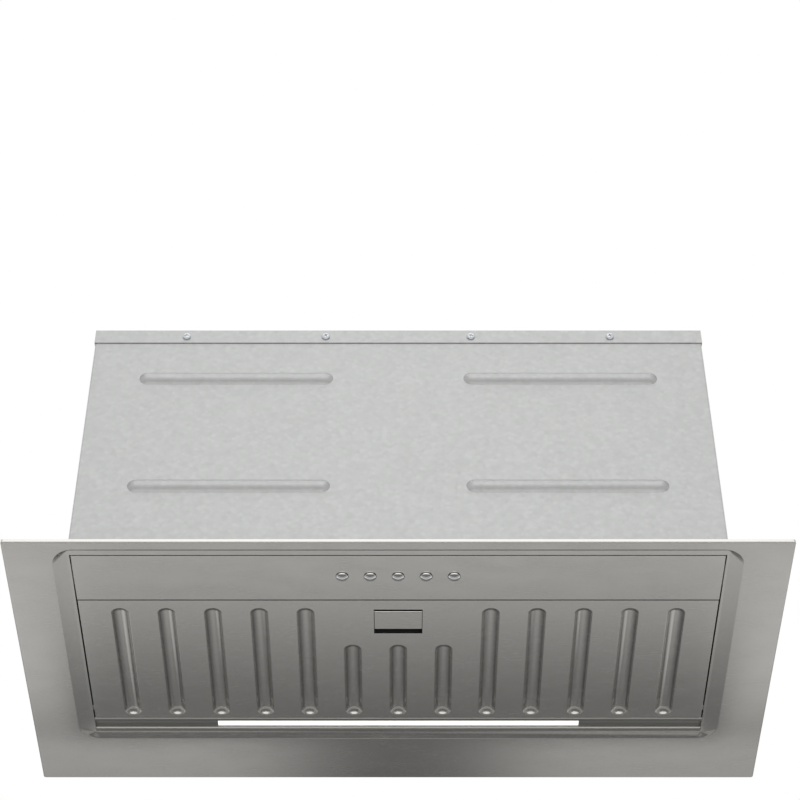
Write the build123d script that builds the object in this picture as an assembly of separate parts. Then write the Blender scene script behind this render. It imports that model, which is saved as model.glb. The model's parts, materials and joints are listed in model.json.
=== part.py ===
from build123d import *
import math
import os

os.makedirs("parts", exist_ok=True)

# Undermount range hood. Millimetres, +X to the viewer's right, +Y to the wall, +Z up.
# The origin is the centre of the seating plane, where the plate's hem meets the cabinet.

# Face plate: flat sheet, turned-up rim, dished recess that slopes up to a ledge round the opening
PLATE_W = 600.0
PLATE_D = 300.0
PLATE_T = 1.0
PLATE_R = 2.0
RIM_H = 3.0
RIM_BEND = 0.9
HEM_W = 8.0
DISH_SIDE = 36.8
DISH_FRONT = 9.0
DISH_REAR = 55.0
DISH_R = 17.5
DISH_H = 3.0
DISH_BEND = 2.0
SLOPE_SIDE = 11.2
SLOPE_FRONT = 4.0
SLOPE_REAR = 4.4
LEDGE_W = 2.0
LEDGE_FRONT = 5.2
LEDGE_R = 2.0

# Housing
FRAME_T = 1.0
FRAME_H = 15.0
SHEET_T = 0.8
BODY_TOP = 246.0
FLANGE_W = 12.0
LID_FLANGE = 14.0
LID_SCREW_DROP = 7.0
LID_SCREW_SHARES = (-0.7, -0.24, 0.24, 0.7)
RIB_R = 9.0
RIB_SINK = 6.0
RIB_INNER = 60.0
RIB_CORNER = 46.0
RIB_LOW = 70.0
RIB_TOP = 56.0
BUMP_L = 150.0
BUMP_H = 110.0
BUMP_R = 16.0
BUMP_RISE = 2.5
BUMP_DROP = 96.0
BUMP_TAPER = 35.0

# Control panel and buttons
CONTROL_GAP_SIDE = 0.8
CONTROL_GAP_FRONT = 1.2
CONTROL_D = 51.35
CONTROL_H = 11.0
CONTROL_BEND = 0.35
EAR_D = 24.0
EAR_INSET = 12.9
EAR_Z = 3.0
EAR_SCREW_PITCH = 14.0
EAR_SCREW_Z = 7.0
BUTTONS = 5
BUTTON_PITCH = 21.5
BUTTON_INSET = 23.6
BUTTON_R = 4.6
BUTTON_GAP = 0.5
BUTTON_DROP = 2.6
BUTTON_DOME = 1.6
BUTTON_COLLAR = 1.0
BUTTON_TRAVEL = 2.0
BUTTON_LIFT = 0.4
STEM_R = 2.5
STEM_L = 11.6
STEM_CLEARANCE = 0.05
SWITCH_D = 26.0
SWITCH_H = 21.4
SWITCH_END = 14.0
SWITCH_FOOT = 8.0
SWITCH_CHAMFER = 2.0

# Filter panel
PANEL_GAP = 0.8
BAR_GAP = 1.0
FILTER_GAP_SIDE = 1.2
FILTER_T = 0.8
FILTER_H = 8.0
FILTER_FLANGE = 8.8
FILTER_BEND = 0.7
GROOVES = 13
SHORT_GROOVES = 3
GROOVE_SIDE = 31.6
GROOVE_R = 7.95
GROOVE_AXIS = 4.2
GROOVE_SOFT = 1.2
GROOVE_FRONT = 9.7
GROOVE_SHORT = 54.8
GROOVE_REAR = 4.4
PIN_R = 2.0
PIN_CLEARANCE = 0.05
PIN_END_GAP = 0.6
HINGE_INSET = 10.0
HINGE_Z = 4.6
EYE_R = 3.5
EYE_GAP = 2.5
EYE_BLOCK_D = 14.0
EYE_BLOCK_REAR = 3.0
EYE_BLOCK_H = 8.0

# Latch
POCKET_W = 38.0
POCKET_INSET = 11.0
POCKET_D = 29.1
TAB_INSET = 2.6
TAB_D = 21.6
TAB_GAP = 0.4
TAB_T = 1.2
TAB_FRONT_H = 6.0
TAB_REAR_H = 9.0
TAB_SOFT = 0.9
CORE_W = 28.0
CORE_H = 7.0
CUP_T = 1.4
CUP_H = 12.0
CUP_GAP = 0.2
CUP_R = 2.0
BOLT_W = 18.0
BOLT_Z = 4.0
BOLT_T = 3.0
BOLT_REACH = 0.4
BOLT_CHAMFER = 1.5
SLOT_GAP = 0.6

# Light bar
BAR_W = 16.9
BAR_H = 13.0
BAR_LIP = 4.2
BAR_SOFT = 1.6
BAR_REAR_SOFT = 3.0
BAR_ROOF = 1.2
CHANNEL_W = 9.0
CHANNEL_H = 3.3
LENS_L = 298.0
LENS_W = 8.4
LENS_T = 2.2
LENS_DROP = 0.8
LENS_SOFT = 0.7
LED_BOARD_T = 1.6
CHIPS = 12
CHIP_L = 3.5
CHIP_W = 2.8
CHIP_H = 0.8
DRIVER_L = 110.0
DRIVER_D = 30.0
DRIVER_H = 35.0
DRIVER_R = 3.0
DRIVER_SIDE = 51.0
DRIVER_DROP = 16.0
DRIVER_LUG_L = 4.0
DRIVER_LUG_D = 8.0

# Grease mesh
RAIL_RISE = 4.0
RAIL_T = 1.2
RAIL_LAP = 12.0
RAIL_H = 16.0
MESH_SIDE = 10.0
MESH_FRONT = 4.2
MESH_REAR = 4.7
MESH_H = 9.0
MESH_WALL = 1.0
MESH_LIP = 12.0
PLEATS = 56
PLEAT_H = 5.8
PLEAT_T = 1.2

# Blower
FAN_FRONT_GAP = 3.8
FAN_REAR_ROOM = 40.6
FAN_TOP_GAP = 28.0
SCROLL_W = 100.0
SCROLL_T = 2.0
SCROLL_GROWTH = 1 / 9
TONGUE_ANGLE = 50.0
CHEEK_EDGE = 3.0
HANGER_OUT = 18.0
HANGER_D = 36.0
HANGER_T = 1.5
HANGER_CREST = 34.0
HANG_SCREW_PITCH = 17.0
LIP_W = 5.0
LIP_H = 3.0
LIP_SOFT = 2.0
WHEEL_GAP = 12.0
WHEEL_SIDE_GAP = 4.0
BLADES = 36
BLADE_DEPTH = 12.5
BLADE_SWEEP = 7.0
BLADE_TURN = 1.2
BLADE_BOW_OUT = 1 / 8
BLADE_BOW_BACK = 1 / 6
INLET_LAP = 1.5
DISC_T = 2.0
RING_W = 3.0
RING_H = 5.0
RING_PROUD = 1.0
HUB_R = 11.0
HUB_L = 17.0
HUB_BACK = 5.0
SHAFT_R = 4.0
SHAFT_END = 16.0
SHAFT_DEPTH = 50.0
SHAFT_CLEARANCE = 0.06
MOTOR_GAP = 12.5
MOTOR_END = 8.0
MOTOR_SOFT = 5.0
SPIDER_OUT = 6.0
SPIDER_T = 2.0
SPIDER_HUB_R = 20.0
SPIDER_ARM_W = 12.0
SPIDER_FOOT = 9.0
CAPACITOR_R = 15.0
CAPACITOR_L = 70.0
CAPACITOR_SIDE = 71.0
CAPACITOR_DROP = 24.0
CAPACITOR_GAP = 20.0
CAPACITOR_SOFT = 1.5
CLIP_L = 20.0
CLIP_T = 1.2
CLIP_H = 16.0

# Outlet
SPIGOT_R = 74.0
SPIGOT_T = 2.5
SPIGOT_H = 42.0
SPIGOT_RIM = 6.0
SPIGOT_EDGE = 2.4
SPIGOT_CORNER = 10.0
SPIGOT_SCREW = 9.0
FLAP_RISE = 16.0
FLAP_SEAT_W = 5.0
FLAP_SEAT_GAP = 0.4
FLAP_GAP = 2.2
FLAP_T = 1.5
FLAP_PIN_R = 2.0
FLAP_CLEARANCE = 0.06
FLAP_SPLIT = 4.4
KNUCKLE_R = 3.6
KNUCKLE_L = 18.0
KNUCKLE_NEAR = 4.0
KNUCKLE_FAR = 40.0

# Terminal box
BOX_W = 84.0
BOX_D = 100.0
BOX_H = 30.0
BOX_T = 2.0
BOX_R = 4.0
BOX_SIDE = 19.8
BOX_LID_T = 2.5
BOX_LID_LAP = 1.0
BOX_LID_CHAMFER = 1.0
ENTRY_R = 9.0
BLOCK_W = 14.0
BLOCK_D = 50.0
BLOCK_H = 14.0
BLOCK_SIDE = 20.0
BLOCK_INSET = 12.0
POLES = 5
POLE_PITCH = 9.5
POLE_R = 2.5
POLE_DEPTH = 7.0
GLAND_INSET = 22.0
GLAND_Z = 15.0
GLAND_BORE_R = 4.5
GLAND_NECK_R = 8.0
GLAND_R = 9.0
GLAND_OUT = 20.0
GLAND_IN = 6.0
GLAND_HEX_R = 12.0
GLAND_HEX_L = 6.0

# Fixing to the cabinet, and screws
CABINET_T = 16.0
FOOT_L = 28.0
FOOT_W = 34.0
FOOT_T = 1.5
FOOT_UP = 42.0
FOOT_HOLE_R = 2.5
FOOT_HOLE_OUT = 16.2
FOOT_PITCH = 140.0
FOOT_SCREW_Z = 14.0
FOOT_SCREW_PITCH = 18.0
SCREW_R = 1.5
SCREW_HEAD_R = 3.4
SCREW_HEAD_H = 2.0
SCREW_CHAMFER = 0.9
SCREW_L = 4.0
SPIGOT_SCREW_L = 6.0
OVERCUT = 1.0

half_w = PLATE_W / 2
half_d = PLATE_D / 2
plate_z = -RIM_H
panel_z = plate_z + DISH_H
dish_x = half_w - DISH_SIDE
dish_y0 = -half_d + DISH_FRONT
dish_y1 = half_d - DISH_REAR
ledge_x = dish_x - SLOPE_SIDE
ledge_y0 = dish_y0 + SLOPE_FRONT
ledge_y1 = dish_y1 - SLOPE_REAR
open_x = ledge_x - LEDGE_W
open_y0 = ledge_y0 + LEDGE_FRONT
open_y1 = ledge_y1 - LEDGE_W
frame_z0 = panel_z + PLATE_T
frame_z1 = frame_z0 + FRAME_H
wall_x = open_x + FRAME_T
wall_y0 = open_y0 - FRAME_T
wall_y1 = open_y1 + FRAME_T
mid_y = (wall_y0 + wall_y1) / 2
out_x = wall_x + SHEET_T
out_y0 = wall_y0 - SHEET_T
out_y1 = wall_y1 + SHEET_T
lid_z = BODY_TOP + SHEET_T


def slab(x0, x1, y0, y1, z0, z1):
    return Pos((x0 + x1) / 2, (y0 + y1) / 2, (z0 + z1) / 2) * Box(abs(x1 - x0), y1 - y0, z1 - z0)


def rod_x(x0, x1, y, z, r):
    return Pos((x0 + x1) / 2, y, z) * Rot(0, 90, 0) * Cylinder(r, abs(x1 - x0))


def rod_z(z0, z1, x, y, r):
    return Pos(x, y, (z0 + z1) / 2) * Cylinder(r, z1 - z0)


def outline(x0, x1, y0, y1, z, r):
    return Pos((x0 + x1) / 2, (y0 + y1) / 2, z) * RectangleRounded(x1 - x0, y1 - y0, r)


def prism(x0, x1, y0, y1, r, z0, z1):
    return extrude(outline(x0, x1, y0, y1, z0, r), z1 - z0)


def round_edge(shape, r):
    return shape.edges().filter_by(GeomType.CIRCLE).filter_by(lambda e: abs(e.radius - r) < 1e-3)


def inner_edges(face):
    return [edge for wire in face.inner_wires() for edge in wire.edges()]


def bend(centre, r, a):
    return (centre[0] + r * math.cos(math.radians(a)), centre[1] + r * math.sin(math.radians(a)))


def save(shape, name):
    export_step(shape, "parts/" + name + ".step")


def screw(head, direction, length):
    # Chamfered pan head with a plain shank, head on the side that direction points to
    place = Plane(origin=head, z_dir=direction)
    pan = place * (Pos(0, 0, SCREW_HEAD_H / 2) * Cylinder(SCREW_HEAD_R, SCREW_HEAD_H))
    crown = pan.edges().filter_by(GeomType.CIRCLE).sort_by(Axis(head, direction))[-1]
    pan = chamfer(crown, SCREW_CHAMFER)
    shank = place * (Pos(0, 0, -length / 2) * Cylinder(SCREW_R, length))
    return pan + shank


def drill(head, direction, length):
    place = Plane(origin=head, z_dir=direction)
    return place * Cylinder(SCREW_R, 2 * (length + OVERCUT))


# Face plate
plate = prism(-half_w, half_w, -half_d, half_d, PLATE_R, plate_z, 0)
plate = fillet(plate.faces().sort_by(Axis.Z)[0].edges(), RIM_BEND)
in_w = half_w - PLATE_T
in_d = half_d - PLATE_T
plate = plate - prism(-in_w, in_w, -in_d, in_d, PLATE_R - PLATE_T, plate_z + PLATE_T, -PLATE_T)
hem_w = half_w - HEM_W
hem_d = half_d - HEM_W
plate = plate - prism(-hem_w, hem_w, -hem_d, hem_d, PLATE_R, -PLATE_T, 0)


def dish(lift):
    low = outline(-dish_x, dish_x, dish_y0, dish_y1, plate_z + lift, DISH_R)
    high = outline(-ledge_x, ledge_x, ledge_y0, ledge_y1, panel_z + lift, LEDGE_R)
    return loft([low, high], ruled=True)


plate = plate + dish(PLATE_T)
plate = plate - dish(0)
plate = plate - slab(-open_x, open_x, open_y0, open_y1, plate_z, frame_z0 + OVERCUT)
plate = fillet(inner_edges(plate.faces().filter_by(Plane.XY).sort_by(Axis.Z)[0]), DISH_BEND)
save(plate, "face_plate")

# Throat frame: upright ring on the plate's ledge that the housing and inner pieces fix to
control_y0 = open_y0 + CONTROL_GAP_FRONT
control_y1 = control_y0 + CONTROL_D
ear_y0 = control_y0 + EAR_INSET
ear_mid = ear_y0 + EAR_D / 2
ear_y1 = ear_y0 + EAR_D
ear_spots = []
for sx in (-1, 1):
    for y in (ear_mid - EAR_SCREW_PITCH / 2, ear_mid + EAR_SCREW_PITCH / 2):
        ear_spots.append(((sx * out_x, y, EAR_SCREW_Z), (sx, 0, 0)))
ear_drills = [drill(p, d, SCREW_L) for p, d in ear_spots]
frame = slab(-wall_x, wall_x, wall_y0, wall_y1, frame_z0, frame_z1)
frame = frame - slab(-open_x, open_x, open_y0, open_y1, frame_z0 - OVERCUT, frame_z1 + OVERCUT)
frame = frame - ear_drills
save(frame, "throat_frame")


# Housing: end sheets with turned flanges, front and rear sheets with pressed ribs, a lid on top
def rib(x0, x1, z, y, r):
    ends = [Pos(x0, y, z) * Sphere(r), Pos(x1, y, z) * Sphere(r)]
    return rod_x(x0, x1, y, z, r) + ends


def wall_sheet(y0, y1, out):
    # Ribs along X stand out of the sheet's outer face
    face = y0 if out < 0 else y1
    axis_y = face - out * RIB_SINK
    sheet = slab(-wall_x, wall_x, y0, y1, frame_z0, BODY_TOP)
    reach = (y0 - RIB_R, y1) if out < 0 else (y0, y1 + RIB_R)
    keep = slab(-wall_x, wall_x, reach[0], reach[1], frame_z0, BODY_TOP)
    for z in (RIB_LOW, BODY_TOP - RIB_TOP):
        for x0, x1 in ((RIB_CORNER - wall_x, -RIB_INNER), (RIB_INNER, wall_x - RIB_CORNER)):
            sheet = sheet + (rib(x0, x1, z, axis_y, RIB_R) & keep)
            sheet = sheet - rib(x0, x1, z, axis_y, RIB_R - SHEET_T)
    return sheet


lid_x = out_x + SHEET_T
lid_y0 = out_y0 - SHEET_T
lid_y1 = out_y1 + SHEET_T
lid_screw_z = BODY_TOP - LID_SCREW_DROP
side_x = [out_x * share for share in LID_SCREW_SHARES]
end_y = [mid_y - FOOT_PITCH / 2, mid_y + FOOT_PITCH / 2]
lid_front = [((x, lid_y0, lid_screw_z), (0, -1, 0)) for x in side_x]
lid_rear = [((x, lid_y1, lid_screw_z), (0, 1, 0)) for x in side_x]
lid_ends = [((sx * lid_x, y, lid_screw_z), (sx, 0, 0)) for sx in (-1, 1) for y in end_y]
lid_spots = lid_front + lid_rear + lid_ends
lid_drills = [drill(p, d, SCREW_L) for p, d in lid_spots]

front_panel = wall_sheet(out_y0, wall_y0, -1)
front_panel = front_panel - [drill(p, d, SCREW_L) for p, d in lid_front]
save(front_panel, "front_panel")
rear_panel = wall_sheet(wall_y1, out_y1, 1)
rear_panel = rear_panel - [drill(p, d, SCREW_L) for p, d in lid_rear]
save(rear_panel, "rear_panel")

foot_screw_z = (CABINET_T + FOOT_SCREW_Z, CABINET_T + FOOT_SCREW_Z + FOOT_SCREW_PITCH)
foot_spots = {}
for sx, side in ((-1, "left"), (1, "right")):
    for y, place in zip(end_y, ("front", "rear")):
        head_x = sx * (out_x + FOOT_T)
        foot_spots[place + "_" + side] = [((head_x, y, z), (sx, 0, 0)) for z in foot_screw_z]
foot_drills = [drill(p, d, SCREW_L) for spots in foot_spots.values() for p, d in spots]


def bump(x, sx):
    # Oblong stiffening panel pressed outward from an end sheet's face at x
    face = Plane(origin=(x, mid_y, BODY_TOP - BUMP_DROP), x_dir=(0, 1, 0), z_dir=(sx, 0, 0))
    return extrude(face * RectangleRounded(BUMP_L, BUMP_H, BUMP_R), BUMP_RISE, taper=BUMP_TAPER)


for sx, side in ((-1, "left"), (1, "right")):
    sheet = slab(sx * wall_x, sx * out_x, out_y0, out_y1, frame_z0, BODY_TOP)
    turn = sx * (wall_x - FLANGE_W)
    flange_z = frame_z1 + OVERCUT
    sheet = sheet + slab(sx * wall_x, turn, wall_y0, wall_y0 + SHEET_T, flange_z, BODY_TOP)
    sheet = sheet + slab(sx * wall_x, turn, wall_y1 - SHEET_T, wall_y1, flange_z, BODY_TOP)
    sheet = (sheet + bump(sx * out_x, sx)) - bump(sx * wall_x, sx)
    sheet = sheet - ear_drills - lid_drills - foot_drills
    save(sheet, side + "_end_panel")

# Fan place: the scroll fills the housing's depth, less the room for driver and capacitor behind it
scroll_edge = SCROLL_T + CHEEK_EDGE
scroll_room = wall_y1 - wall_y0 - FAN_FRONT_GAP - FAN_REAR_ROOM - 2 * scroll_edge
scroll_r = scroll_room / (2 + 3 * SCROLL_GROWTH)
scroll_step = scroll_r * SCROLL_GROWTH
half_step = scroll_step / 2
fan_y = wall_y0 + FAN_FRONT_GAP + scroll_edge + half_step + scroll_r
fan_z = BODY_TOP - scroll_r - FAN_TOP_GAP
scroll_x = SCROLL_W / 2
r0 = scroll_r - scroll_step
r2 = scroll_r + scroll_step
r3 = r2 + scroll_step
tongue = bend((-half_step, half_step), r0, TONGUE_ANGLE)
crest = (-half_step, -half_step + scroll_r)
front = (-half_step - scroll_r, -half_step)
bottom = (half_step, -half_step - r2)
rear = (half_step + r3, half_step)

spigot_base = SPIGOT_R + SPIGOT_RIM
spigot_y = out_y1 - SPIGOT_EDGE - spigot_base
spigot_dx = spigot_base - SPIGOT_SCREW
spigot_points = []
for sx in (-1, 1):
    for sy in (-1, 1):
        spigot_points.append((sx * spigot_dx, spigot_y + sy * spigot_dx, lid_z + SPIGOT_T))
spigot_drills = [drill(p, (0, 0, 1), SPIGOT_SCREW_L) for p in spigot_points]
hang_x = scroll_x + SCROLL_T + HANGER_OUT / 2
hanger_y1 = fan_y - HANGER_CREST
hanger_y0 = hanger_y1 - HANGER_D
hang_mid = (hanger_y0 + hanger_y1) / 2
hang_points = []
for sx in (-1, 1):
    for y in (hang_mid - HANG_SCREW_PITCH / 2, hang_mid + HANG_SCREW_PITCH / 2):
        hang_points.append((sx * hang_x, y, lid_z))
hang_drills = [drill(p, (0, 0, 1), SCREW_L) for p in hang_points]
box_x1 = out_x - BOX_SIDE
box_x0 = box_x1 - BOX_W
entry_x = (box_x0 + box_x1) / 2

lid = slab(-lid_x, lid_x, lid_y0, lid_y1, BODY_TOP - LID_FLANGE, lid_z)
lid = lid - slab(-out_x, out_x, out_y0, out_y1, BODY_TOP - LID_FLANGE - OVERCUT, BODY_TOP)
throat_y0 = fan_y + tongue[0]
throat_y1 = fan_y + rear[0]
lid = lid - slab(-scroll_x, scroll_x, throat_y0, throat_y1, BODY_TOP - OVERCUT, lid_z + OVERCUT)
lid = lid - lid_drills - spigot_drills - hang_drills
lid = lid - rod_z(BODY_TOP - OVERCUT, lid_z + OVERCUT, entry_x, mid_y, ENTRY_R)
save(lid, "top_panel")

# Control panel: shallow tray, face down, with button holes and a keeper slot for the latch
control_x = open_x - CONTROL_GAP_SIDE
control_z1 = panel_z + CONTROL_H
panel = slab(-control_x, control_x, control_y0, control_y1, panel_z, control_z1)
panel = fillet(panel.faces().sort_by(Axis.Z)[0].edges(), CONTROL_BEND)
panel = panel - slab(
    -control_x + PLATE_T,
    control_x - PLATE_T,
    control_y0 + PLATE_T,
    control_y1 - PLATE_T,
    panel_z + PLATE_T,
    control_z1 + OVERCUT,
)
for sx in (-1, 1):
    panel = panel + slab(sx * control_x, sx * open_x, ear_y0, ear_y1, panel_z + EAR_Z, control_z1)
button_y = control_y0 + BUTTON_INSET
button_hole_r = BUTTON_R + BUTTON_GAP
button_x = [BUTTON_PITCH * (i - (BUTTONS - 1) / 2) for i in range(BUTTONS)]
holes = [rod_z(panel_z - OVERCUT, frame_z0 + OVERCUT, x, button_y, button_hole_r) for x in button_x]
bolt_x = BOLT_W / 2
slot_x = bolt_x + SLOT_GAP
slot_z0 = BOLT_Z - SLOT_GAP
slot_z1 = BOLT_Z + BOLT_T + SLOT_GAP
keeper = slab(-slot_x, slot_x, control_y1 - 2 * PLATE_T, control_y1 + OVERCUT, slot_z0, slot_z1)
panel = panel - holes - keeper - ear_drills
save(panel, "control_panel")

# Push buttons: domed cap, retaining collar above the panel, stem in the switch block
collar_z0 = frame_z0 + BUTTON_LIFT
collar_z1 = collar_z0 + BUTTON_COLLAR
cap_z = panel_z - BUTTON_DROP
dome_r = (BUTTON_R**2 + BUTTON_DOME**2) / (2 * BUTTON_DOME)
for i, x in enumerate(button_x):
    dome = Pos(x, button_y, cap_z + dome_r) * Sphere(dome_r)
    dome = dome & rod_z(cap_z, cap_z + BUTTON_DOME, x, button_y, BUTTON_R)
    cap = dome + rod_z(cap_z + BUTTON_DOME, collar_z0, x, button_y, BUTTON_R)
    cap = cap + rod_z(collar_z0, collar_z1, x, button_y, button_hole_r + BUTTON_COLLAR)
    cap = cap + rod_z(collar_z1, collar_z1 + STEM_L, x, button_y, STEM_R)
    save(cap, "button_%d" % (i + 1))

# Switch block with guide bores for the stems, one press above the collars
block_z0 = collar_z1 + BUTTON_TRAVEL + STEM_CLEARANCE
block_z1 = block_z0 + SWITCH_H
bore_z1 = collar_z1 + STEM_L + 2 * BUTTON_TRAVEL
block_x = button_x[-1] + SWITCH_END
block_y0 = button_y - SWITCH_D / 2
block_y1 = button_y + SWITCH_D / 2
block = slab(-block_x, block_x, block_y0, block_y1, block_z0, block_z1)
block = chamfer(block.faces().sort_by(Axis.Z)[-1].edges(), SWITCH_CHAMFER)
for sx in (-1, 1):
    foot_x = sx * block_x
    near = foot_x - SWITCH_FOOT / 2
    block = block + slab(near, near + SWITCH_FOOT, block_y0, block_y1, frame_z0, block_z0 + SWITCH_FOOT)
stem_bore_r = STEM_R + STEM_CLEARANCE
block = block - [rod_z(block_z0 - OVERCUT, bore_z1, x, button_y, stem_bore_r) for x in button_x]
save(block, "switch_block")

# Filter panel: pressed tray with half-round grooves, latch pocket and hinge pins at the rear
bar_y0 = open_y1 - BAR_W
filter_x = open_x - FILTER_GAP_SIDE
filter_y0 = control_y1 + PANEL_GAP
filter_y1 = bar_y0 - BAR_GAP
filter_top = panel_z + FILTER_H
tray_x = filter_x - FILTER_FLANGE
hinge_y = filter_y1 - HINGE_INSET
hinge_z = panel_z + HINGE_Z
tray = slab(-tray_x, tray_x, filter_y0, filter_y1, panel_z, filter_top)
tray = fillet(tray.edges().filter_by(Axis.X).group_by(Axis.Z)[0], FILTER_BEND)
tray = tray - slab(
    -tray_x + FILTER_T,
    tray_x - FILTER_T,
    filter_y0 + FILTER_T,
    filter_y1 - FILTER_T,
    panel_z + FILTER_T,
    filter_top + OVERCUT,
)
sheet = slab(-filter_x, filter_x, filter_y0, filter_y1, panel_z, panel_z + FILTER_T)
filt = tray + fillet(sheet.edges().filter_by(Axis.X).group_by(Axis.Z)[0], FILTER_BEND)


def groove(x, y0, y1, r):
    # Capsule along Y whose axis is below the sheet, so that it cuts a shallow half-round
    reach = math.sqrt(GROOVE_R**2 - GROOVE_AXIS**2)
    front = y0 + reach
    rear = y1 - reach
    tips = Line((0, rear + r), (0, front - r))
    side = Line((r, front), (r, rear))
    half = make_face([CenterArc((0, front), r, -90, 90), side, CenterArc((0, rear), r, 0, 90), tips])
    return Pos(x, 0, panel_z - GROOVE_AXIS) * revolve(half, Axis.Y)


above = slab(-filter_x, filter_x, filter_y0, filter_y1, panel_z, filter_top + GROOVE_R)
last = GROOVES // 2
groove_pitch = (filter_x - GROOVE_SIDE) / last
groove_y1 = filter_y1 - GROOVE_REAR
for i in range(-last, last + 1):
    groove_y0 = filter_y0 + (GROOVE_SHORT if abs(i) <= SHORT_GROOVES // 2 else GROOVE_FRONT)
    skin = groove(i * groove_pitch, groove_y0, groove_y1, GROOVE_R + FILTER_T) & above
    filt = filt + skin - groove(i * groove_pitch, groove_y0, groove_y1, GROOVE_R)
filt = fillet(inner_edges(filt.faces().filter_by(Plane.XY).sort_by(Axis.Z)[0]), GROOVE_SOFT)
for sx in (-1, 1):
    pin_end = sx * (open_x - PIN_END_GAP)
    filt = filt + rod_x(sx * (tray_x - FILTER_T), pin_end, hinge_y, hinge_z, PIN_R)
pocket_x = POCKET_W / 2
pocket_y0 = filter_y0 + POCKET_INSET
pocket_y1 = pocket_y0 + POCKET_D
filt = filt - slab(-pocket_x, pocket_x, pocket_y0, pocket_y1, panel_z - OVERCUT, panel_z + 2 * FILTER_T)
filt = filt - slab(-slot_x, slot_x, filter_y0 - OVERCUT, filter_y0 + 2 * FILTER_T, slot_z0, slot_z1)
save(filt, "filter_panel")

# Latch cup over the pocket, and the sliding latch with its finger tab and bolt
cup_wall = CUP_GAP + CUP_T
cup_x = pocket_x + cup_wall
cup_y0 = pocket_y0 - cup_wall
cup_y1 = pocket_y1 + cup_wall
cup_z0 = panel_z + FILTER_T
cup_z1 = cup_z0 + CUP_H
cup = prism(-cup_x, cup_x, cup_y0, cup_y1, CUP_R, cup_z0, cup_z1)
cup = cup - slab(
    -cup_x + CUP_T,
    cup_x - CUP_T,
    cup_y0 + CUP_T,
    cup_y1 - CUP_T,
    cup_z0 - OVERCUT,
    cup_z1 - CUP_T,
)
cup = cup - slab(-slot_x, slot_x, cup_y0 - OVERCUT, cup_y0 + 2 * CUP_T, slot_z0, slot_z1)
save(cup, "latch_cup")

tab_x = pocket_x - TAB_GAP
tab_y0 = pocket_y0 + TAB_INSET
tab_y1 = tab_y0 + TAB_D
latch = slab(-tab_x, tab_x, tab_y0, tab_y1, panel_z, panel_z + TAB_T)
latch = latch + slab(-tab_x, tab_x, tab_y0, tab_y0 + TAB_T, panel_z, panel_z + TAB_FRONT_H)
latch = latch + slab(-tab_x, tab_x, tab_y1 - TAB_T, tab_y1, panel_z, panel_z + TAB_REAR_H)
latch = fillet(latch.edges().filter_by(Axis.X).group_by(Axis.Z)[0], TAB_SOFT)
core_x = CORE_W / 2
latch = latch + slab(-core_x, core_x, tab_y0 + TAB_T, tab_y1 - TAB_T, panel_z + TAB_T, panel_z + CORE_H)
bolt = slab(-bolt_x, bolt_x, filter_y0 - BOLT_REACH, tab_y0 + TAB_T, BOLT_Z, BOLT_Z + BOLT_T)
nose = bolt.edges().filter_by(Axis.X).group_by(Axis.Y)[0].sort_by(Axis.Z)[-1]
latch = latch + chamfer(nose, BOLT_CHAMFER)
save(latch, "latch_slide")

# Hinge brackets: an eye for each pin, on a block against the throat frame
for sx, side in ((-1, "left"), (1, "right")):
    eye_x = sx * (tray_x + EYE_GAP)
    eye = rod_x(eye_x, sx * open_x, hinge_y, hinge_z, EYE_R)
    eye_y0 = hinge_y - EYE_BLOCK_D
    eye_y1 = hinge_y + EYE_BLOCK_REAR
    eye = eye + slab(eye_x, sx * open_x, eye_y0, eye_y1, hinge_z, hinge_z + EYE_BLOCK_H)
    eye = eye - rod_x(-half_w, half_w, hinge_y, hinge_z, PIN_R + PIN_CLEARANCE)
    save(eye, "hinge_bracket_" + side)

# Light bar: channel along the back of the opening, with rounded lips and a lens pocket
channel_y0 = bar_y0 + BAR_LIP
channel_y1 = channel_y0 + CHANNEL_W
channel_z = panel_z + CHANNEL_H
bar_z1 = panel_z + BAR_H
lens_x = LENS_L / 2
lens_mid = (channel_y0 + channel_y1) / 2
lens_y0 = lens_mid - LENS_W / 2
lens_y1 = lens_mid + LENS_W / 2
bar = slab(-open_x, open_x, bar_y0, open_y1, panel_z, bar_z1)
bar = bar - slab(-half_w, half_w, channel_y0, channel_y1, panel_z - OVERCUT, channel_z)
bar_rims = bar.edges().filter_by(Axis.X).group_by(Axis.Z)[0].sort_by(Axis.Y)
bar = fillet(bar_rims[:2], BAR_SOFT)
rear_rim = bar.edges().filter_by(Axis.X).group_by(Axis.Z)[0].sort_by(Axis.Y)[-2]
bar = fillet(rear_rim, BAR_REAR_SOFT)
bar = bar - slab(-lens_x, lens_x, lens_y0, lens_y1, channel_z - OVERCUT, bar_z1 - BAR_ROOF)
save(bar, "led_bar")
lens_z0 = channel_z - LENS_DROP
lens = slab(-lens_x, lens_x, lens_y0, lens_y1, lens_z0, lens_z0 + LENS_T)
lens = fillet(lens.faces().sort_by(Axis.Z)[0].edges(), LENS_SOFT)
save(lens, "led_diffuser")
board_z1 = bar_z1 - BAR_ROOF
board_z0 = board_z1 - LED_BOARD_T
board = slab(-lens_x, lens_x, lens_y0, lens_y1, board_z0, board_z1)
chip_pitch = LENS_L / CHIPS
for i in range(CHIPS):
    chip_x = -lens_x + chip_pitch * (i + 0.5)
    board = board + Pos(chip_x, lens_mid, board_z0 - CHIP_H / 2) * Box(CHIP_L, CHIP_W, CHIP_H)
save(board, "led_board")
driver_x0 = DRIVER_SIDE - wall_x
driver_z1 = BODY_TOP - DRIVER_DROP
driver = prism(
    driver_x0,
    driver_x0 + DRIVER_L,
    wall_y1 - DRIVER_D,
    wall_y1,
    DRIVER_R,
    driver_z1 - DRIVER_H,
    driver_z1,
)
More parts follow.
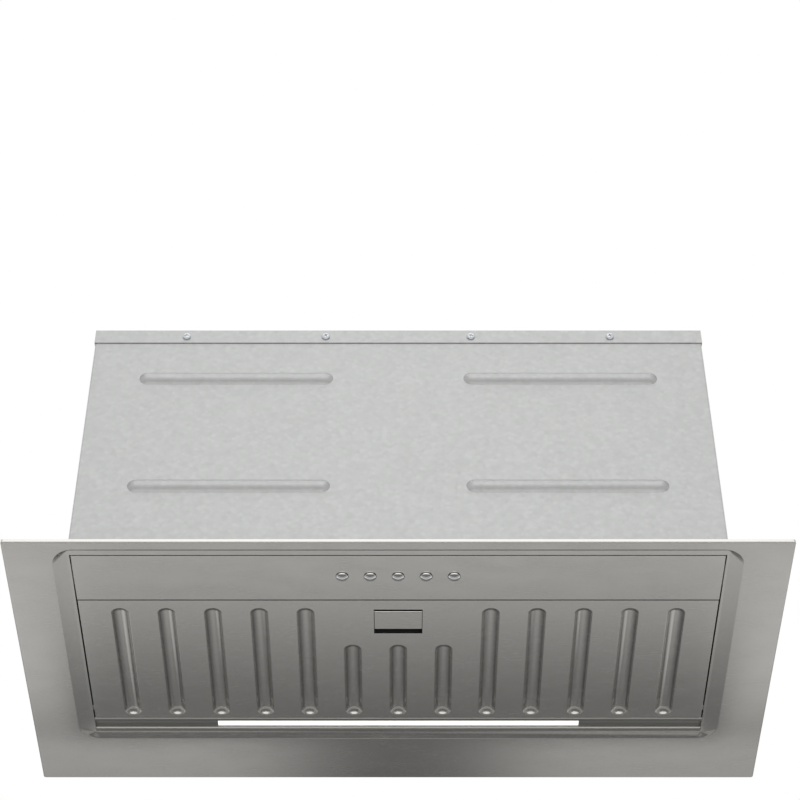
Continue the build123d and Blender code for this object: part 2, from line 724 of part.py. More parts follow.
driver = driver - slab(
    driver_x0 - OVERCUT,
    driver_x0 + DRIVER_LUG_L,
    wall_y1 - DRIVER_D - OVERCUT,
    wall_y1 - DRIVER_LUG_D,
    driver_z1 - DRIVER_H - OVERCUT,
    driver_z1 + OVERCUT,
)
save(driver, "led_driver")

# Grease mesh in a frame, on two rails fixed to the end sheets
mesh_x = open_x - MESH_SIDE
mesh_y0 = filter_y0 + MESH_FRONT
mesh_y1 = filter_y1 - MESH_REAR
rail_z0 = frame_z1 + RAIL_RISE
rail_z1 = rail_z0 + RAIL_T
mesh_z1 = rail_z1 + MESH_H
for sx, side in ((-1, "left"), (1, "right")):
    rail = slab(sx * wall_x, sx * (mesh_x - RAIL_LAP), mesh_y0, mesh_y1, rail_z0, rail_z1)
    upright = slab(sx * wall_x, sx * (wall_x - RAIL_T), mesh_y0, mesh_y1, rail_z0, rail_z0 + RAIL_H)
    save(rail + upright - foot_drills, "mesh_rail_" + side)


def mesh_block(inset, z0, z1):
    return slab(-mesh_x + inset, mesh_x - inset, mesh_y0 + inset, mesh_y1 - inset, z0, z1)


mesh_frame = mesh_block(0, rail_z1, mesh_z1)
mesh_frame = mesh_frame - mesh_block(MESH_WALL, rail_z1 + MESH_WALL, mesh_z1 - MESH_WALL)
mesh_frame = mesh_frame - mesh_block(MESH_LIP, rail_z1 - OVERCUT, mesh_z1 + OVERCUT)
save(mesh_frame, "mesh_frame")
pad_x = mesh_x - MESH_WALL
pad_z = rail_z1 + MESH_WALL
half_pleat = pad_x / PLEATS
low = [(half_pleat * i - pad_x, pad_z + PLEAT_H * (i % 2)) for i in range(2 * PLEATS + 1)]
high = [(x, z + PLEAT_T) for x, z in reversed(low)]
pad_plane = Plane(origin=(0, mesh_y1 - MESH_WALL, 0), x_dir=(1, 0, 0), z_dir=(0, -1, 0))
wave = make_face(Polyline(*low, *high, low[0]))
pad = extrude(pad_plane * wave, mesh_y1 - mesh_y0 - 2 * MESH_WALL)
save(pad, "mesh_pad")

# Blower: four-arc scroll, axis along X, outlet up at the rear, each arc through the middle of its turn
mouth_z = BODY_TOP - fan_z + scroll_step
air = make_face([
    Line(tongue, (tongue[0], mouth_z)),
    Line((tongue[0], mouth_z), (rear[0], mouth_z)),
    Line((rear[0], mouth_z), rear),
    ThreePointArc(rear, bend((half_step, half_step), r3, -45), bottom),
    ThreePointArc(bottom, bend((half_step, -half_step), r2, -135), front),
    ThreePointArc(front, bend((-half_step, -half_step), scroll_r, 135), crest),
    ThreePointArc(crest, bend((-half_step, half_step), r0, (90 + TONGUE_ANGLE) / 2), tongue),
])
shell = offset(air, SCROLL_T, kind=Kind.INTERSECTION)
scroll_plane = Plane(origin=(0, fan_y, fan_z), x_dir=(0, 1, 0), z_dir=(1, 0, 0))
room = slab(-half_w, half_w, wall_y0, wall_y1, 0, BODY_TOP)
band = extrude(scroll_plane * (shell - air), scroll_x, both=True) & room
save(band, "scroll_band")
wheel_r = scroll_r - WHEEL_GAP
wheel_bore = wheel_r - BLADE_DEPTH
inlet_r = wheel_bore + INLET_LAP
for sx, side in ((-1, "left"), (1, "right")):
    inner_x = sx * scroll_x
    outer_x = sx * (scroll_x + SCROLL_T)
    cheek_plane = Plane(origin=(inner_x, fan_y, fan_z), x_dir=(0, 1, 0), z_dir=(1, 0, 0))
    cheek = extrude(cheek_plane * offset(shell, CHEEK_EDGE, kind=Kind.ARC), sx * SCROLL_T) & room
    hanger_x = outer_x + sx * HANGER_OUT
    cheek = cheek + slab(outer_x, hanger_x, hanger_y0, hanger_y1, BODY_TOP - HANGER_T, BODY_TOP)
    cheek = cheek + slab(inner_x, outer_x, hanger_y0, hanger_y1, fan_z + r0, BODY_TOP)
    lip = rod_x(inner_x, outer_x + sx * LIP_H, fan_y, fan_z, inlet_r + LIP_W)
    lip = fillet(lip.edges().filter_by(GeomType.CIRCLE).sort_by(Axis.X)[-1 if sx > 0 else 0], LIP_SOFT)
    cheek = cheek + lip
    cheek = cheek - rod_x(-half_w, half_w, fan_y, fan_z, inlet_r)
    cheek = fillet(round_edge(cheek, inlet_r).sort_by(Axis.X)[-1 if sx > 0 else 0], LIP_SOFT)
    save(cheek - hang_drills, "cheek_" + side)

# Fan wheel: centre disc, hub, two rows of forward-curved blades and end rings
blade_in = (wheel_bore, 0.0)
blade_out = bend((0, 0), wheel_r, BLADE_SWEEP)
blade_mid = (
    (blade_in[0] + blade_out[0]) / 2 + BLADE_DEPTH * BLADE_BOW_OUT,
    (blade_in[1] + blade_out[1]) / 2 - BLADE_DEPTH * BLADE_BOW_BACK,
)


def turned(p):
    c = math.cos(math.radians(BLADE_TURN))
    s = math.sin(math.radians(BLADE_TURN))
    return (p[0] * c - p[1] * s, p[0] * s + p[1] * c)


blade_face = make_face([
    ThreePointArc(blade_in, blade_mid, blade_out),
    Line(blade_out, turned(blade_out)),
    ThreePointArc(turned(blade_out), turned(blade_mid), turned(blade_in)),
    Line(turned(blade_in), blade_in),
])
wheel_x = scroll_x - WHEEL_SIDE_GAP
fan_axis = Axis((0, fan_y, fan_z), (1, 0, 0))
blade = extrude(scroll_plane * blade_face, wheel_x, both=True)
wheel = rod_x(-DISC_T / 2, DISC_T / 2, fan_y, fan_z, wheel_r)
wheel = wheel + [blade.rotate(fan_axis, 360.0 / BLADES * i) for i in range(BLADES)]
ring_r = wheel_r + RING_PROUD
for sx in (-1, 1):
    ring = rod_x(sx * (wheel_x - RING_W), sx * wheel_x, fan_y, fan_z, ring_r)
    wheel = wheel + (ring - rod_x(-half_w, half_w, fan_y, fan_z, ring_r - RING_H))
wheel = wheel + rod_x(-HUB_BACK, HUB_L - HUB_BACK, fan_y, fan_z, HUB_R)
wheel = wheel - rod_x(-half_w, half_w, fan_y, fan_z, SHAFT_R)
save(wheel, "fan_wheel")
save(rod_x(-SHAFT_DEPTH, SHAFT_END, fan_y, fan_z, SHAFT_R), "rotor_shaft")

# Motor inside the left wheel, on a three-arm bracket over the left inlet
spider_x1 = -scroll_x - SPIDER_OUT
spider_x0 = spider_x1 - SPIDER_T
motor = rod_x(spider_x1, -MOTOR_END, fan_y, fan_z, wheel_bore - MOTOR_GAP)
motor = fillet(motor.edges().filter_by(GeomType.CIRCLE).sort_by(Axis.X)[-1], MOTOR_SOFT)
motor = motor - rod_x(-SHAFT_DEPTH - SHAFT_R, 0, fan_y, fan_z, SHAFT_R + SHAFT_CLEARANCE)
save(motor, "motor_body")
spider = rod_x(spider_x0, spider_x1, fan_y, fan_z, SPIDER_HUB_R)
arm_y0 = fan_y - SPIDER_ARM_W / 2
arm_y1 = fan_y + SPIDER_ARM_W / 2
arm_z = fan_z + inlet_r + LIP_W + LIP_H
cheek_x = -scroll_x - SCROLL_T
for turn in (90, 210, 330):
    arm = slab(spider_x0, spider_x1, arm_y0, arm_y1, fan_z, arm_z + SPIDER_FOOT)
    arm = arm + slab(spider_x0, cheek_x, arm_y0, arm_y1, arm_z, arm_z + SPIDER_FOOT)
    spider = spider + arm.rotate(fan_axis, turn)
save(spider, "motor_bracket")

# Run capacitor in a clip on the rear sheet
cap_x1 = wall_x - CAPACITOR_SIDE
cap_x0 = cap_x1 - CAPACITOR_L
cap_y = wall_y1 - CAPACITOR_GAP
capacitor_z = BODY_TOP - CAPACITOR_DROP
capacitor = rod_x(cap_x0, cap_x1, cap_y, capacitor_z, CAPACITOR_R)
capacitor = fillet(capacitor.edges().filter_by(GeomType.CIRCLE), CAPACITOR_SOFT)
save(capacitor, "capacitor")
clip_x0 = (cap_x0 + cap_x1 - CLIP_L) / 2
clip_x1 = clip_x0 + CLIP_L
clip_z0 = capacitor_z - CLIP_H / 2
clip = rod_x(clip_x0, clip_x1, cap_y, capacitor_z, CAPACITOR_R + CLIP_T)
clip = clip + slab(clip_x0, clip_x1, cap_y, wall_y1, clip_z0, clip_z0 + CLIP_H)
clip = clip - rod_x(cap_x0, cap_x1, cap_y, capacitor_z, CAPACITOR_R)
save(clip, "capacitor_clip")

# Outlet spigot with a flap seat, pivot pin and two half-round flaps
base_z = lid_z + SPIGOT_T
tube_z = base_z + SPIGOT_H
flap_z = lid_z + FLAP_RISE
seat_z = flap_z - FLAP_T / 2 - FLAP_SEAT_GAP
bore_r = SPIGOT_R - SPIGOT_T
base_y0 = spigot_y - spigot_base
base_y1 = spigot_y + spigot_base
spigot = prism(-spigot_base, spigot_base, base_y0, base_y1, SPIGOT_CORNER, lid_z, base_z)
spigot = spigot + rod_z(lid_z, tube_z, 0, spigot_y, SPIGOT_R)
spigot = spigot - rod_z(seat_z, tube_z + OVERCUT, 0, spigot_y, bore_r)
spigot = spigot - rod_z(lid_z - OVERCUT, tube_z, 0, spigot_y, bore_r - FLAP_SEAT_W)
spigot = spigot - rod_x(-half_w, half_w, spigot_y, flap_z, FLAP_PIN_R)
spigot = spigot - spigot_drills
save(spigot, "outlet_spigot")
pin = rod_x(-SPIGOT_R, SPIGOT_R, spigot_y, flap_z, FLAP_PIN_R)
pin = pin & rod_z(lid_z, tube_z, 0, spigot_y, SPIGOT_R)
save(pin, "flap_pin")
knuckle_starts = {
    "front": (-KNUCKLE_FAR - KNUCKLE_L, KNUCKLE_NEAR),
    "rear": (-KNUCKLE_NEAR - KNUCKLE_L, KNUCKLE_FAR),
}
flap_z0 = flap_z - FLAP_T / 2
flap_z1 = flap_z + FLAP_T / 2
for sy, side in ((-1, "front"), (1, "rear")):
    leaf = rod_z(flap_z0, flap_z1, 0, spigot_y, bore_r - FLAP_GAP)
    half_y = sorted((spigot_y + sy * FLAP_SPLIT, spigot_y + sy * SPIGOT_R))
    leaf = leaf & slab(-SPIGOT_R, SPIGOT_R, half_y[0], half_y[1], flap_z0, flap_z1)
    web_y = sorted((spigot_y, spigot_y + sy * (FLAP_SPLIT + FLAP_T)))
    for k0 in knuckle_starts[side]:
        k1 = k0 + KNUCKLE_L
        leaf = leaf + rod_x(k0, k1, spigot_y, flap_z, KNUCKLE_R)
        leaf = leaf + slab(k0, k1, web_y[0], web_y[1], flap_z0, flap_z1)
    leaf = leaf - rod_x(-half_w, half_w, spigot_y, flap_z, FLAP_PIN_R + FLAP_CLEARANCE)
    save(leaf, "flap_" + side)

# Terminal box on the lid, with a lid of its own, a terminal block and a cable gland
box_y0 = mid_y - BOX_D / 2
box_y1 = mid_y + BOX_D / 2
box_z1 = lid_z + BOX_H


def box_prism(grow, r, z0, z1):
    return prism(box_x0 - grow, box_x1 + grow, box_y0 - grow, box_y1 + grow, r, z0, z1)


gland_y = box_y0 + GLAND_INSET
gland_z = lid_z + GLAND_Z
tbox = box_prism(0, BOX_R, lid_z, box_z1)
tbox = tbox - box_prism(-BOX_T, BOX_R - BOX_T, lid_z + BOX_T, box_z1 + OVERCUT)
tbox = tbox - rod_z(lid_z - OVERCUT, lid_z + BOX_T + OVERCUT, entry_x, mid_y, ENTRY_R)
tbox = tbox - rod_x(box_x1 - 2 * BOX_T, box_x1 + OVERCUT, gland_y, gland_z, GLAND_NECK_R)
save(tbox, "terminal_box")
tlid = box_prism(BOX_LID_LAP, BOX_R + BOX_LID_LAP, box_z1, box_z1 + BOX_LID_T)
tlid = chamfer(tlid.faces().sort_by(Axis.Z)[-1].edges(), BOX_LID_CHAMFER)
save(tlid, "terminal_lid")
tblock_x0 = box_x0 + BLOCK_SIDE
tblock_y0 = box_y0 + BLOCK_INSET
tblock_z0 = lid_z + BOX_T
tblock_z1 = tblock_z0 + BLOCK_H
tblock = slab(tblock_x0, tblock_x0 + BLOCK_W, tblock_y0, tblock_y0 + BLOCK_D, tblock_z0, tblock_z1)
pole_x = tblock_x0 + BLOCK_W / 2
for i in range(POLES):
    pole_y = tblock_y0 + BLOCK_D / 2 + POLE_PITCH * (i - (POLES - 1) / 2)
    tblock = tblock - rod_z(tblock_z1 - POLE_DEPTH, tblock_z1 + OVERCUT, pole_x, pole_y, POLE_R)
save(tblock, "terminal_block")
gland_x1 = box_x1 + GLAND_OUT
gland = rod_x(box_x1 - GLAND_IN, box_x1, gland_y, gland_z, GLAND_NECK_R)
gland = gland + rod_x(box_x1, gland_x1, gland_y, gland_z, GLAND_R)
hex_plane = Plane(origin=(box_x1, gland_y, gland_z), x_dir=(0, 1, 0), z_dir=(1, 0, 0))
gland = gland + extrude(hex_plane * RegularPolygon(GLAND_HEX_R, 6), GLAND_HEX_L)
gland = gland - rod_x(0, half_w, gland_y, gland_z, GLAND_BORE_R)
save(gland, "cable_gland")

# Hanging brackets: the feet rest on the cabinet's floor board, one board thickness above the hem
for place, spots in foot_spots.items():
    sx = -1 if place.endswith("left") else 1
    y0 = spots[0][0][1] - FOOT_W / 2
    y1 = y0 + FOOT_W
    leg = slab(sx * out_x, sx * (out_x + FOOT_T), y0, y1, CABINET_T, CABINET_T + FOOT_UP)
    leg = leg + slab(sx * out_x, sx * (out_x + FOOT_L), y0, y1, CABINET_T, CABINET_T + FOOT_T)
    hole_x = sx * (out_x + FOOT_HOLE_OUT)
    leg = leg - rod_z(0, CABINET_T + 2 * FOOT_T, hole_x, (y0 + y1) / 2, FOOT_HOLE_R)
    leg = leg - [drill(p, d, SCREW_L) for p, d in spots]
    save(leg, "bracket_" + place)

# Screws
save(Compound(children=[screw(p, d, SCREW_L) for p, d in lid_spots]), "lid_screws")
save(Compound(children=[screw(p, (0, 0, 1), SPIGOT_SCREW_L) for p in spigot_points]), "spigot_screws")
save(Compound(children=[screw(p, (0, 0, 1), SCREW_L) for p in hang_points]), "blower_screws")
foot_screws = [screw(p, d, SCREW_L) for spots in foot_spots.values() for p, d in spots]
save(Compound(children=foot_screws), "bracket_screws")
save(Compound(children=[screw(p, d, SCREW_L) for p, d in ear_spots]), "end_screws")
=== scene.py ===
import json
import math

import bmesh
import bpy
from mathutils import Matrix, Vector

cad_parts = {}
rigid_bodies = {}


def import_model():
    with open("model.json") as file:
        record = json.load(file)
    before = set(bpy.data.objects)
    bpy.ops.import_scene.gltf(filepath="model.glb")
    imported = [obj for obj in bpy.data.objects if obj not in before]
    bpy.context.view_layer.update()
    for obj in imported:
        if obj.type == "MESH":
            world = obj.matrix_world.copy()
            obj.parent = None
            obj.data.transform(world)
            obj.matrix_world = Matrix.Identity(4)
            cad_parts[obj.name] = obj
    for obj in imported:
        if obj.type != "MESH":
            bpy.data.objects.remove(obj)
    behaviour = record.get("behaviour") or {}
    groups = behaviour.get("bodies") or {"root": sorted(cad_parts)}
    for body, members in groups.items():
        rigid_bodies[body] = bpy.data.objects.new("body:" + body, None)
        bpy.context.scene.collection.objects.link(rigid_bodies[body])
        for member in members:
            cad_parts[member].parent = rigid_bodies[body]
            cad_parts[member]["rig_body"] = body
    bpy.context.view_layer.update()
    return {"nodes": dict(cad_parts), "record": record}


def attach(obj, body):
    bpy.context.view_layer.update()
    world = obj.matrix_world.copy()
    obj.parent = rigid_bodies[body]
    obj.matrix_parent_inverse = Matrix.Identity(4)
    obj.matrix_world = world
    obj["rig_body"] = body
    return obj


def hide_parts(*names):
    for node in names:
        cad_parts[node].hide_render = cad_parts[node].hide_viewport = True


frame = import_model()

# Undermount range hood, in metres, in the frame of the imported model: +X right, +Y to the wall, +Z up.
MM = 0.001
MERGE = 0.001 * MM
FLAT_ANGLE = math.radians(0.3)
HARD_ANGLE = math.radians(35)
nodes = frame["nodes"]
slot_of = {part["node"]: part["material_slot"] for part in frame["record"]["subparts"]}


# Colours, nodes and patterns
def colour(text):
    """Linear colour of an sRGB hex value such as #b8b7b4."""
    parts = [int(text[i:i + 2], 16) / 255 for i in (1, 3, 5)]
    linear = [c / 12.92 if c <= 0.04045 else ((c + 0.055) / 1.055) ** 2.4 for c in parts]
    return (*linear, 1.0)


def add(tree, kind, inputs=None, **settings):
    """Adds a node, sets its settings, and sets or links each named input."""
    made = tree.nodes.new(kind)
    for name, value in settings.items():
        setattr(made, name, value)
    for name, value in (inputs or {}).items():
        if isinstance(value, bpy.types.NodeSocket):
            tree.links.new(value, made.inputs[name])
        else:
            made.inputs[name].default_value = value
    return made


def start(name):
    """A new material, its node tree and its shader."""
    material = bpy.data.materials.new(name)
    material.use_nodes = True
    return material, material.node_tree, material.node_tree.nodes["Principled BSDF"]


def pattern_scale(x_mm, y_mm, z_mm):
    """Mapping scale at which one unit of a pattern is that many millimetres each way."""
    return [1 / MM / size for size in (x_mm, y_mm, z_mm)]


# Most of a noise texture's values lie in this range, which Map Range spreads out
NOISE = {"From Min": 0.3, "From Max": 0.7}


# Materials
def brushed_stainless():
    """Ferritic stainless sheet, brushed along X: soft reflections, drawn out across the brush lines.

    The lines, a tenth of a millimetre wide on the real sheet, are drawn at half a millimetre to show.
    """
    material, tree, shader = start("Brushed stainless sheet")
    spot = add(tree, "ShaderNodeTexCoord").outputs["Object"]
    fine = add(tree, "ShaderNodeMapping", {"Vector": spot, "Scale": pattern_scale(45, 0.5, 0.5)})
    brush = add(tree, "ShaderNodeTexNoise", {"Vector": fine.outputs["Vector"], "Detail": 3.0}).outputs["Fac"]
    broad = add(tree, "ShaderNodeMapping", {"Vector": spot, "Scale": pattern_scale(160, 70, 70)})
    cloud = add(tree, "ShaderNodeTexNoise", {"Vector": broad.outputs["Vector"], "Detail": 1.0}).outputs["Fac"]
    share = add(tree, "ShaderNodeMapRange", {"Value": brush, **NOISE})
    tone = add(tree, "ShaderNodeMix", {"Factor": share.outputs["Result"], "A": colour("#bfbdb9"),
                                       "B": colour("#cac8c4")}, data_type="RGBA")
    streak = add(tree, "ShaderNodeMapRange", {"Value": brush, **NOISE, "To Min": -0.04, "To Max": 0.04})
    haze = add(tree, "ShaderNodeMapRange", {"Value": cloud, **NOISE, "To Min": 0.22, "To Max": 0.25})
    rough = add(tree, "ShaderNodeMath", {0: streak.outputs["Result"], 1: haze.outputs["Result"]},
                operation="ADD")
    grain = add(tree, "ShaderNodeBump", {"Height": brush, "Strength": 0.06, "Distance": 0.1 * MM})
    shader.inputs["Metallic"].default_value = 1.0
    tree.links.new(tone.outputs["Result"], shader.inputs["Base Color"])
    tree.links.new(rough.outputs["Value"], shader.inputs["Roughness"])
    tree.links.new(grain.outputs["Normal"], shader.inputs["Normal"])
    return material


def galvanised_sheet():
    """Hot-dip galvanised sheet: pale zinc with a faint crystal spangle a centimetre or two across."""
    material, tree, shader = start("Galvanised steel sheet")
    spot = add(tree, "ShaderNodeTexCoord").outputs["Object"]
    crystal = add(tree, "ShaderNodeMapping", {"Vector": spot, "Scale": pattern_scale(16, 16, 16)})
    spangle = add(tree, "ShaderNodeTexVoronoi", {"Vector": crystal.outputs["Vector"]}, feature="SMOOTH_F1")
    shade = add(tree, "ShaderNodeSeparateColor", {"Color": spangle.outputs["Color"]})
    tone = add(tree, "ShaderNodeMix", {"Factor": shade.outputs["Red"], "A": colour("#a6a7a6"),
                                       "B": colour("#adaead")}, data_type="RGBA")
    rough = add(tree, "ShaderNodeMapRange", {"Value": shade.outputs["Green"], "To Min": 0.42, "To Max": 0.48})
    shader.inputs["Metallic"].default_value = 1.0
    tree.links.new(tone.outputs["Result"], shader.inputs["Base Color"])
    tree.links.new(rough.outputs["Result"], shader.inputs["Roughness"])
    return material


def one_colour_metal(name, base, grain_mm, detail, smooth, dull):
    """Metal of one colour whose roughness goes from smooth to dull with a grain of that size."""
    material, tree, shader = start(name)
    spot = add(tree, "ShaderNodeTexCoord").outputs["Object"]
    sized = add(tree, "ShaderNodeMapping", {"Vector": spot, "Scale": pattern_scale(*grain_mm)})
    grain = add(tree, "ShaderNodeTexNoise", {"Vector": sized.outputs["Vector"], "Detail": detail})
    rough = add(tree, "ShaderNodeMapRange", {"Value": grain.outputs["Fac"], **NOISE, "To Min": smooth,
                                             "To Max": dull})
    shader.inputs["Base Color"].default_value = colour(base)
    shader.inputs["Metallic"].default_value = 1.0
    tree.links.new(rough.outputs["Result"], shader.inputs["Roughness"])
    return material


def turned_steel():
    """Bright turned steel: rings round the axis along X, drawn wider apart than the tool's feed to show."""
    return one_colour_metal("Turned bright steel", "#a8a8aa", (0.6, 40, 40), 2.0, 0.22, 0.4)


def zinc_plated_steel():
    """Zinc-plated screws: bright, slightly blue, with uneven plating."""
    return one_colour_metal("Zinc plated screw steel", "#c2c5c9", (1.2, 1.2, 1.2), 2.0, 0.2, 0.34)


def chromed_abs():
    """Chrome-plated moulded caps: a mirror with a trace of haze from the moulding."""
    return one_colour_metal("Chrome plated ABS", "#eeeeee", (2.5, 2.5, 2.5), 1.0, 0.05, 0.12)


def satin_aluminium():
    """Anodised extruded aluminium: satin, with faint die lines along X."""
    return one_colour_metal("Anodised extruded aluminium", "#979693", (120, 0.7, 0.7), 2.0, 0.3, 0.42)


def grained_plastic(name, dark, light, smooth, dull):
    """Plastic with the fine even grain of a spark-eroded mould or a printed mask, drawn at 1.2 mm to show."""
    material, tree, shader = start(name)
    spot = add(tree, "ShaderNodeTexCoord").outputs["Object"]
    sized = add(tree, "ShaderNodeMapping", {"Vector": spot, "Scale": pattern_scale(1.2, 1.2, 1.2)})
    grain = add(tree, "ShaderNodeTexNoise", {"Vector": sized.outputs["Vector"], "Detail": 3.0}).outputs["Fac"]
    share = add(tree, "ShaderNodeMapRange", {"Value": grain, **NOISE})
    tone = add(tree, "ShaderNodeMix", {"Factor": share.outputs["Result"], "A": colour(dark),
                                       "B": colour(light)}, data_type="RGBA")
    bump = add(tree, "ShaderNodeBump", {"Height": grain, "Strength": 0.15, "Distance": 0.1 * MM})
    rough = add(tree, "ShaderNodeMapRange", {"Value": grain, **NOISE, "To Min": smooth, "To Max": dull})
    shader.inputs["IOR"].default_value = 1.52
    tree.links.new(tone.outputs["Result"], shader.inputs["Base Color"])
    tree.links.new(rough.outputs["Result"], shader.inputs["Roughness"])
    tree.links.new(bump.outputs["Normal"], shader.inputs["Normal"])
    return material


def opal_lens():
    """Extruded opal polycarbonate strip, lit from behind: bright all over, a little uneven along X."""
    material, tree, shader = start("Opal polycarbonate lens")
    spot = add(tree, "ShaderNodeTexCoord").outputs["Object"]
    chip = add(tree, "ShaderNodeMapping", {"Vector": spot, "Scale": pattern_scale(24, 30, 30)})
    patch = add(tree, "ShaderNodeTexNoise", {"Vector": chip.outputs["Vector"], "Detail": 0.0})
    glow = add(tree, "ShaderNodeMapRange", {"Value": patch.outputs["Fac"], **NOISE, "To Min": 0.84,
                                            "To Max": 0.94})
    shader.inputs["Base Color"].default_value = colour("#f4f3ee")
    shader.inputs["Roughness"].default_value = 0.35
    shader.inputs["IOR"].default_value = 1.58
    shader.inputs["Emission Color"].default_value = colour("#fffdf8")
    tree.links.new(glow.outputs["Result"], shader.inputs["Emission Strength"])
    return material


finish_of = {
    "stainless": brushed_stainless(),
    "zinc_steel": galvanised_sheet(),
    "bright_steel": turned_steel(),
    "screw_steel": zinc_plated_steel(),
    "chrome": chromed_abs(),
    "aluminium": satin_aluminium(),
    "black_plastic": grained_plastic("Moulded black ABS", "#1d1d1e", "#272728", 0.42, 0.56),
    "grey_plastic": grained_plastic("Moulded grey polypropylene", "#5b5d5f", "#66686a", 0.45, 0.6),
    "opal_plastic": opal_lens(),
    "board": grained_plastic("White solder mask", "#dcdcd6", "#e6e6e0", 0.35, 0.45),
}


# Pieces
def place(bm, name, node):
    """Makes a mesh piece that stands for a CAD node, on its body and in its slot."""
    for face in bm.faces:
        face.smooth = True
    for edge in bm.edges:
        edge.smooth = not edge.is_manifold or edge.calc_face_angle() < HARD_ANGLE
    mesh = bpy.data.meshes.new(name)
    bm.to_mesh(mesh)
    bm.free()
    mesh.materials.append(finish_of[slot_of[node]])
    piece = bpy.data.objects.new(name, mesh)
    bpy.context.scene.collection.objects.link(piece)
    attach(piece, nodes[node]["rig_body"])
    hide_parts(node)
    return piece


def merged(node):
    """A merged copy of a CAD node's mesh, with its flat faces whole."""
    bm = bmesh.new()
    bm.from_mesh(nodes[node].data)
    bmesh.ops.remove_doubles(bm, verts=bm.verts, dist=MERGE)
    bmesh.ops.dissolve_limit(bm, angle_limit=FLAT_ANGLE, verts=bm.verts, edges=bm.edges)
    return bm


# Screws: domed pan heads with a cross recess
HEAD_R = 3.4 * MM
HEAD_H = 2.0 * MM
HEAD_WALL = 0.7 * MM
HEAD_STEPS = 28
DOME_STEPS = 5
SHANK_R = 1.5 * MM
CROSS_L = 3.6 * MM
CROSS_W = 0.75 * MM
CROSS_DEPTH = 1.2 * MM
TWIST = math.radians(37)


def cross_recess(bm):
    """Cuts a cross into the crown of an upright screw and gives the cut mesh."""
    tool = bmesh.new()
    bar = Matrix.Diagonal((CROSS_L, CROSS_W, 2 * CROSS_DEPTH, 1))
    for turn in (0, math.pi / 2):
        crown = Matrix.Translation((0, 0, HEAD_H)) @ Matrix.Rotation(turn, 4, "Z")
        bmesh.ops.create_cube(tool, size=1, matrix=crown @ bar)
    pair = []
    for shape in (bm, tool):
        mesh = bpy.data.meshes.new("recess")
        shape.to_mesh(mesh)
        shape.free()
        pair.append(bpy.data.objects.new("recess", mesh))
        bpy.context.scene.collection.objects.link(pair[-1])
    bite = pair[0].modifiers.new("Recess", "BOOLEAN")
    bite.object = pair[1]
    bite.use_self = True
    graph = bpy.context.evaluated_depsgraph_get()
    cut = bpy.data.meshes.new_from_object(pair[0].evaluated_get(graph))
    for helper in pair:
        bpy.data.objects.remove(helper)
    return cut


def screw_mesh(length):
    """One screw standing on z = 0: half of its outline, spun, with the cross cut in."""
    bm = bmesh.new()
    rise = HEAD_H - HEAD_WALL
    angles = [math.pi / 2 / DOME_STEPS * i for i in range(DOME_STEPS)]
    dome = [(HEAD_R * math.cos(a), HEAD_WALL + rise * math.sin(a)) for a in angles]
    half = [(0, -length), (SHANK_R, -length), (SHANK_R, 0), (HEAD_R, 0)] + dome + [(0, HEAD_H)]
    line = [bm.verts.new((r, 0, z)) for r, z in half]
    edges = [bm.edges.new(pair) for pair in zip(line, line[1:])]
    bmesh.ops.spin(bm, geom=line + edges, cent=(0, 0, 0), axis=(0, 0, 1), angle=2 * math.pi,
                   steps=HEAD_STEPS, use_merge=True)
    bmesh.ops.remove_doubles(bm, verts=bm.verts, dist=MERGE)
    bmesh.ops.recalc_face_normals(bm, faces=bm.faces)
    return cross_recess(bm)


def screw_places(node):
    """Seat, direction and length of each screw in a node, from the box round each loose part."""
    bm = merged(node)
    done = set()
    for first in bm.verts:
        if first in done:
            continue
        part = set()
        fresh = [first]
        while fresh:
            vert = fresh.pop()
            part.add(vert)
            fresh += [v for v in (e.other_vert(vert) for e in vert.link_edges) if v not in part]
        done |= part
        low = Vector([min(v.co[i] for v in part) for i in range(3)])
        high = Vector([max(v.co[i] for v in part) for i in range(3)])
        middle = (low + high) / 2
        along = max(range(3), key=lambda i: abs(high[i] - low[i] - 2 * HEAD_R))
        way = Vector((0, 0, 0))
        way[along] = 1
        rim = [(v.co - middle).dot(way) for v in part if (v.co - middle).cross(way).length > 2 * SHANK_R]
        way *= math.copysign(1, sum(rim))
        tall = high[along] - low[along]
        yield middle + way * (tall / 2 - HEAD_H), way, tall - HEAD_H
    bm.free()


def screws(node):
    """All the screws of a node, each turned by its own angle."""
    bm = bmesh.new()
    for count, (seat, way, length) in enumerate(screw_places(node)):
        one = screw_mesh(length)
        turn = Matrix.Rotation(count * TWIST, 4, "Z")
        one.transform(Matrix.Translation(seat) @ way.to_track_quat("Z", "Y").to_matrix().to_4x4() @ turn)
        bm.from_mesh(one)
        bpy.data.meshes.remove(one)
    place(bm, node + "_heads", node)


screw_nodes = [name for name in nodes if slot_of[name] == "screw_steel"]
for name in screw_nodes:
    screws(name)

# Grease mesh: expanded aluminium, folded in the pleats of its solid
PLEATS = 56
STRAND = 0.6 * MM
MESH_ROWS = 24


